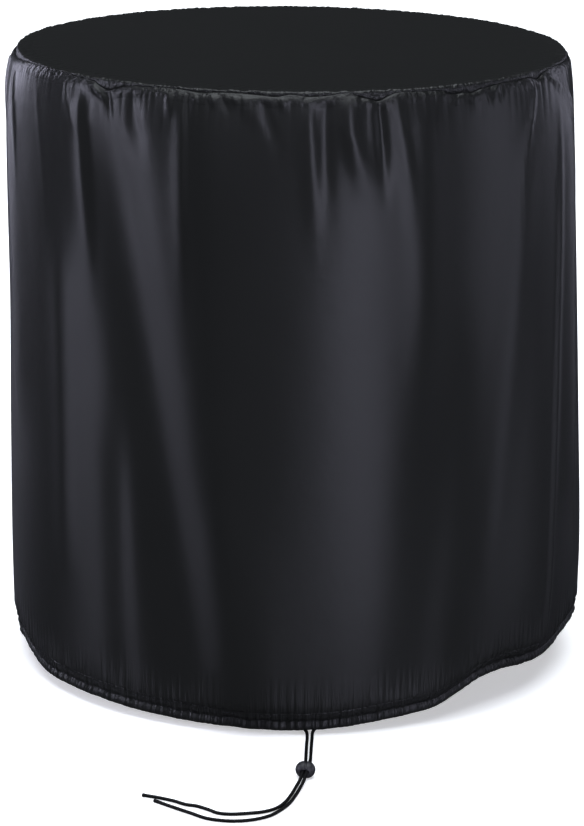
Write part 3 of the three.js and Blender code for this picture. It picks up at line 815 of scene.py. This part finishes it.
def side_rows():
    """Each row's drop round the cover, and the step of its columns."""
    azimuth = np.linspace(-180, 180, COLUMNS + 1)
    seam_drop, _ = seam_line(azimuth)
    hem_drop, _ = hem_line(azimuth)
    upper = seam_drop + np.array(BELOW_SEAM)[:, None]
    lower = hem_drop - np.array(ABOVE_HEM)[:, None]
    share = np.linspace(0, 1, ROWS_BETWEEN + 2)[1:-1, None]
    drops = np.concatenate([upper, mix(upper[-1], lower[0], share), lower])
    steps = [1 if b <= FINE_BELOW else 2 for b in BELOW_SEAM] + [2] * ROWS_BETWEEN
    steps += [1 if a <= FINE_ABOVE else 2 for a in ABOVE_HEM]
    return azimuth, drops, steps


def side_panel_cloth():
    """The side panel as a closed thin shell: turned in at the seam, down the outside to the
    stitching of the hem, and back up the inside, which stays a cloth's thickness within the
    lowest part of the outside next to it."""
    azimuth, drops, steps = side_rows()
    wide = np.broadcast_to(azimuth, drops.shape)
    outside = wall_radius(wide, drops)
    seam_drop, seam_radius = seam_line(azimuth)
    slope = math.radians(SEAM["slope"])
    turned_in = np.array([5.0, 2.5])[:, None]
    fold_radius = seam_radius - turned_in * math.cos(slope)
    fold_drop = seam_drop + 1.9 + turned_in * math.sin(slope)
    lining_rows = np.arange(len(drops))[::-1][1::2]
    shifted = [np.roll(outside[:, :-1], shift, axis=1) for shift in range(-6, 7, 2)]
    lowest = np.minimum.reduce(shifted)
    lowest = np.concatenate([lowest, lowest[:, :1]], axis=1) - SIDE_CLOTH
    inside = lowest[lining_rows]
    inside_drops = drops[lining_rows]
    keep = inside_drops[:, 0] - seam_drop[0] > 8
    tucked_radius = outside[-1] - np.array([1.0, 2.0, 2.4])[:, None]
    tucked_drop = drops[-1] + np.array([0.5, 0.3, -0.6])[:, None]
    radius = np.concatenate([fold_radius, outside, tucked_radius, inside[keep]])
    drop = np.concatenate([fold_drop, drops, tucked_drop, inside_drops[keep]])
    steps = [2, 1] + steps + [1, 2, 4] + [4] * int(keep.sum())
    places = around(azimuth, radius, -drop)
    mid = places[:, front_column(azimuth)]
    height = np.concatenate([[0], np.cumsum(np.linalg.norm(np.diff(mid, axis=0), axis=1))])
    return ring_mesh("side_cloth", places, steps, height, WAY_ROUND["side"], closed=True)


def front_column(azimuth):
    """The column at the front."""
    return int(np.argmin(np.abs(azimuth)))


side_cloth = side_panel_cloth()
finish(side_cloth, HANGING_FINISH)
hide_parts("side_panel")

# Hem casing: places along its section, from the stitching down, round the edge and up inside
CASING_COLUMNS = 2048

# The casing's outer ply: height above the edge, how far in from the hem's radius, and how
# strongly its pleats show. It is drawn in at its two rows of stitches.
OUTER_PLY = (
    (16.6, 0.4, 0.8),
    (15.2, 1.0, 1.0),
    (13.8, 0.3, 1.1),
    (12.0, 0.1, 1.1),
    (10.6, 0.4, 1.0),
    (9.4, 1.1, 0.9),
    (8.4, 0.6, 0.9),
    (7.0, -0.3, 1.0),
    (5.4, -0.8, 1.1),
)
EDGE_TURNS = (0, -22, -45, -68, -90, -115, -145, -175)
INNER_PLY = (7.0, 11.0, 14.5, 17.5)


def casing_section(azimuth):
    """Radius and height of the casing's outside along its section, and how strongly the pleats
    show there: an outer ply drawn in at its stitches, a round edge about the cord, and an inner
    ply back up to the stitching."""
    hem_drop, hem_radius = hem_line(azimuth)
    wobble = 0.3 * ripples(azimuth, "hem's wobble")
    cord_radius = hem_radius - CORD["inside_edge"]
    cord_height = CORD["above_edge"] - hem_drop
    stitched = wall_radius(azimuth, hem_drop - CASING["height"])
    edge = CASING["edge_radius"]
    rows = [
        (stitched - 1.2, CASING["height"] + 1.5 - hem_drop, 0),
        (stitched - 0.6, CASING["height"] - 0.2 - hem_drop, 0.4),
    ]
    for above, inward, strength in OUTER_PLY:
        leaned = (above - CASING["leans_from"]) / (CASING["height"] - CASING["leans_from"])
        share = ease(leaned)
        rows.append((mix(hem_radius, stitched, share) - inward, above - hem_drop, strength))
    for turn in EDGE_TURNS:
        angle = math.radians(turn)
        radius = cord_radius + edge * math.cos(angle)
        rows.append((radius, cord_height + edge * math.sin(angle), 0.9 + 0.4 * math.sin(angle)))
    for above in INNER_PLY:
        share = (above - CORD["above_edge"]) / (CASING["height"] - CORD["above_edge"])
        radius = mix(cord_radius - edge, stitched - 2.2, share)
        rows.append((radius, above - hem_drop, 0.3))
    radius = np.stack([row[0] for row in rows])
    height = np.stack([row[1] for row in rows])
    strength = np.array([row[2] for row in rows])[:, None]
    return radius, height + wobble * strength, strength


def hem_casing_cloth():
    """The casing with its pleats, which push its section straight out, and its slit."""
    azimuth = np.linspace(-180, 180, CASING_COLUMNS + 1)
    radius, height, strength = casing_section(azimuth)
    pleats = 0.85 * ridges(azimuth, "pleats") + 0.4 * ridges(azimuth, "fine pleats")
    radius = radius + strength * pleats
    places = around(azimuth, radius, height)
    mid = places[:, front_column(azimuth)]
    along = np.concatenate([[0], np.cumsum(np.linalg.norm(np.diff(mid, axis=0), axis=1))])
    steps = [1] * len(places)
    piece = ring_mesh("hem_casing", places, steps, along, WAY_ROUND["casing"], closed=False)
    cut_slit(piece.data)
    thicken(piece)
    return piece


def thicken(piece):
    """Gives an open surface the thickness of one ply, inwards."""
    ply = piece.modifiers.new("thickness", "SOLIDIFY")
    ply.thickness = PLY * MM
    ply.offset = -1


def cut_slit(mesh):
    """Takes out the faces within an oval round the place where the cord comes out."""
    drop, radius = hem_line(np.array([SLIT["azimuth"]]))
    middle = around(np.array([SLIT["azimuth"]]), radius, -drop)[0]
    centres = np.empty(len(mesh.polygons) * 3, np.float32)
    mesh.polygons.foreach_get("center", centres)
    off = centres.reshape(-1, 3) - middle
    turned = math.radians(SLIT["azimuth"])
    across = off[:, 0] * math.cos(turned) + off[:, 1] * math.sin(turned)
    outward = off[:, 0] * math.sin(turned) - off[:, 1] * math.cos(turned)
    wide, high = SLIT["half_width"] * MM, SLIT["half_height"] * MM
    share = (across / wide) ** 2 + (off[:, 2] / high) ** 2
    gone = np.flatnonzero((share < 1) & (outward > -SLIT["depth"] * MM))
    cutter = bmesh.new()
    cutter.from_mesh(mesh)
    cutter.faces.ensure_lookup_table()
    bmesh.ops.delete(cutter, geom=[cutter.faces[k] for k in gone], context="FACES")
    cutter.to_mesh(mesh)
    cutter.free()


hem_casing = hem_casing_cloth()
finish(hem_casing, CASING_FINISH)
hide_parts("side_panel")

# Top cloth: radii of its rings from the middle out, their steps, and the rows over the rim
TOP_COLUMNS = 1536
DISC = (
    (2, 128), (40, 64), (90, 32), (140, 16), (185, 8), (208, 4), (217, 2), (222, 1), (225, 1),
    (227.5, 1), (229.7, 1), (231.7, 1), (233.5, 1), (235.2, 1), (236.9, 1), (238.6, 1), (240.3, 1),
)
RIM_SHARES = (0, 0.14, 0.28, 0.42, 0.55, 0.67, 0.78, 0.88, 0.96, 1)


def top_panel_cloth():
    """The top panel: flat and taut to its rim, rolled over it by a quarter circle, puckered by
    uneven ripples that grow towards the seam, and turned in there."""
    azimuth = np.linspace(-180, 180, TOP_COLUMNS + 1)
    seam_drop, seam_radius = seam_line(azimuth)
    rim_start, top_radius = seam_radius - SEAM["rim"], seam_radius + SEAM["top_out"]
    coarse = ripples(azimuth, "rim's dips")
    fine = ridges(azimuth, "rim's puckers")
    radius, height, steps = [], [], []
    for ring, step in DISC:
        to_rim = ease((ring - 205) / 38) ** 2
        radius.append(np.full_like(azimuth, float(ring)))
        small = crumple(azimuth, ring)
        height.append(TOP_CLOTH + to_rim * (0.1 * coarse + 0.16 * small))
        steps.append(step)
    for share in RIM_SHARES:
        roll = 1 - math.sqrt(1 - share**2)
        strength = share * (1 - share)
        out = mix(rim_start, top_radius, share**0.8)
        small = crumple(azimuth, out)
        radius.append(out + 1.2 * fine * strength)
        rough = (1 - share) * (0.1 * coarse + 0.16 * small) + strength * (1.2 * fine + 0.5 * coarse)
        height.append(TOP_CLOTH - (seam_drop + TOP_CLOTH) * roll + rough)
        steps.append(1)
    slope = math.radians(SEAM["slope"])
    for turned_in in (1.2, 3.0, 5.0):
        radius.append(top_radius - turned_in * math.cos(slope))
        height.append(-seam_drop - turned_in * math.sin(slope) * 0.4)
        steps.append(1)
    places = around(azimuth, np.stack(radius), np.stack(height))
    mid = places[:, front_column(azimuth)]
    along = np.concatenate([[0], np.cumsum(np.linalg.norm(np.diff(mid, axis=0), axis=1))])
    piece = ring_mesh("top_cloth", places, steps, along, WAY_ROUND["top"], closed=False)
    close_middle(piece.data, TOP_COLUMNS // DISC[0][1])
    thicken(piece)
    return piece


def close_middle(mesh, count):
    """Closes the top's innermost ring with one face."""
    cap = bmesh.new()
    cap.from_mesh(mesh)
    cap.verts.ensure_lookup_table()
    cap.faces.new([cap.verts[k] for k in range(count)])
    bmesh.ops.recalc_face_normals(cap, faces=cap.faces)
    cap.to_mesh(mesh)
    cap.free()
    mesh.shade_smooth()


top_cloth = top_panel_cloth()
finish(top_cloth, TAUT_FINISH)
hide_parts("top_panel")


# Stitches: two rows round the hem, heights above its edge
STITCH_ROWS = (15.2, 9.4)
STITCH = {"pitch": 3.6, "long": 2.7, "thick": 0.55, "row_radius": 252}


def stitch_rows():
    """Short rounded stitches end to end round the hem: each a small bar of six sides, swollen in
    its middle, lying along the cloth."""
    count = round(2 * math.pi * STITCH["row_radius"] / STITCH["pitch"])
    azimuth = np.linspace(-180, 180, count, endpoint=False)
    hem_drop, _ = hem_line(azimuth)
    section = casing_section(azimuth)
    heights = (section[1] + hem_drop)[: len(OUTER_PLY) + 2, 0]
    ring = np.radians(np.arange(0, 360, 60))
    along = np.array([-0.5, -0.3, 0, 0.3, 0.5]) * STITCH["long"]
    thick = np.array([0.25, 0.8, 1, 0.8, 0.25]) * STITCH["thick"] / 2
    points = []
    for above in STITCH_ROWS:
        radius = section[0][int(np.argmin(np.abs(heights - above)))]
        turned = np.radians(azimuth)[:, None, None]
        ahead = along[None, :, None]
        out = (thick[:, None] * np.cos(ring))[None] + radius[:, None, None]
        up = (thick[:, None] * np.sin(ring))[None] + (above - hem_drop)[:, None, None]
        x = out * np.sin(turned) + ahead * np.cos(turned)
        y = -out * np.cos(turned) + ahead * np.sin(turned)
        points.append(np.stack(np.broadcast_arrays(x, y, up), -1).reshape(-1, 5, 6, 3))
    points = np.concatenate(points)
    n = len(points)
    r, c = np.meshgrid(np.arange(4), np.arange(6), indexing="ij")
    this, beside = r * 6 + c, r * 6 + (c + 1) % 6
    side = np.stack([this, beside, beside + 6, this + 6], -1).reshape(-1, 4)
    caps = np.array([[5, 4, 3, 2, 1, 0], [24, 25, 26, 27, 28, 29]])
    base = np.arange(n)[:, None, None] * 30
    faces = (side + base).reshape(-1, 4).tolist() + (caps + base).reshape(-1, 6).tolist()
    mesh = bpy.data.meshes.new("hem_stitches")
    mesh.from_pydata((points.reshape(-1, 3) * MM).tolist(), [], faces)
    mesh.shade_smooth()
    return add_piece("hem_stitches", mesh)


hem_stitches = stitch_rows()
finish(hem_stitches, THREAD_FINISH)


# Floor, lights and surroundings
def pale_floor():
    """A white sheet that glows a little, so that the cover's shadow on it is faint."""
    mesh = bpy.data.meshes.new("floor")
    far, level = 14.0, FLOOR * MM
    corners = [(-far, -far, level), (far, -far, level), (far, far, level), (-far, far, level)]
    mesh.from_pydata(corners, [], [(0, 1, 2, 3)])
    material, shader = new_material("pale floor", (0.92, 0.92, 0.92), 0.9, 0.0)
    shader.inputs["Emission Color"].default_value = (1, 1, 1, 1)
    shader.inputs["Emission Strength"].default_value = 0.45
    floor = add_piece("floor", mesh)
    mesh.materials.append(material)
    floor.visible_glossy = False


pale_floor()


def pale_backdrop():
    """A white wall round the floor, far behind, which is seen but neither lights nor shades."""
    turn = np.radians(np.arange(0, 360, 6))
    away, high = 13.5, 14
    ring = [(away * math.cos(t), away * math.sin(t)) for t in turn]
    count = len(ring)
    mesh = bpy.data.meshes.new("backdrop")
    mesh.from_pydata(
        [(x, y, FLOOR * MM) for x, y in ring] + [(x, y, high) for x, y in ring], [],
        [(k, (k + 1) % count, count + (k + 1) % count, count + k) for k in range(count)],
    )
    material, shader = new_material("white wall", (0.9, 0.9, 0.9), 0.9, 0.0)
    shader.inputs["Emission Color"].default_value = (1, 1, 1, 1)
    shader.inputs["Emission Strength"].default_value = 1.0
    wall = add_piece("backdrop", mesh)
    mesh.materials.append(material)
    wall.visible_diffuse = wall.visible_glossy = wall.visible_shadow = False


pale_backdrop()


# The point that the softboxes face
MIDDLE = (0, 0, -0.25)

# Softboxes round the cover, in metres: name, azimuth, distance, height, size, watts
SOFTBOXES = (
    ("left softbox", -80, 2.9, 0.3, (0.5, 1.0), 36),
    ("right softbox", 27, 2.9, -0.05, (1.1, 1.0), 31),
    ("upper softbox", -14, 2.9, 1.5, (1.6, 0.6), 9),
    ("right fill", 83, 2.9, -0.15, (1.4, 0.8), 12),
    ("right edge light", 130, 2.9, 0.2, (0.5, 1.4), 7),
    ("left edge light", -136, 2.9, 0.2, (0.5, 1.4), 16),
)


def add_area(name, azimuth, distance, height, size, power):
    """A softbox that stands at an azimuth round the cover and faces its middle."""
    turned = math.radians(azimuth)
    place = Vector((distance * math.sin(turned), -distance * math.cos(turned), height))
    data = bpy.data.lights.new(name, "AREA")
    data.shape = "RECTANGLE"
    data.size, data.size_y = size
    data.energy = power
    data.color = (0.80, 0.80, 1.0)
    lamp = bpy.data.objects.new(name, data)
    bpy.context.scene.collection.objects.link(lamp)
    lamp.location = place
    lamp.rotation_euler = (Vector(MIDDLE) - place).to_track_quat("-Z", "Y").to_euler()


for lamp_row in SOFTBOXES:
    add_area(*lamp_row)
sun_data = bpy.data.lights.new("overhead", "SUN")
sun_data.color = (0.9, 0.95, 1.0)
sun_data.energy = 3.6
sun_data.angle = math.radians(60)
sun = bpy.data.objects.new("overhead", sun_data)
bpy.context.scene.collection.objects.link(sun)

world = bpy.data.worlds.new("studio")
world.use_nodes = True
world.node_tree.nodes["Background"].inputs["Color"].default_value = (0.8, 0.85, 1, 1)
world.node_tree.nodes["Background"].inputs["Strength"].default_value = 0.01
bpy.context.scene.world = world
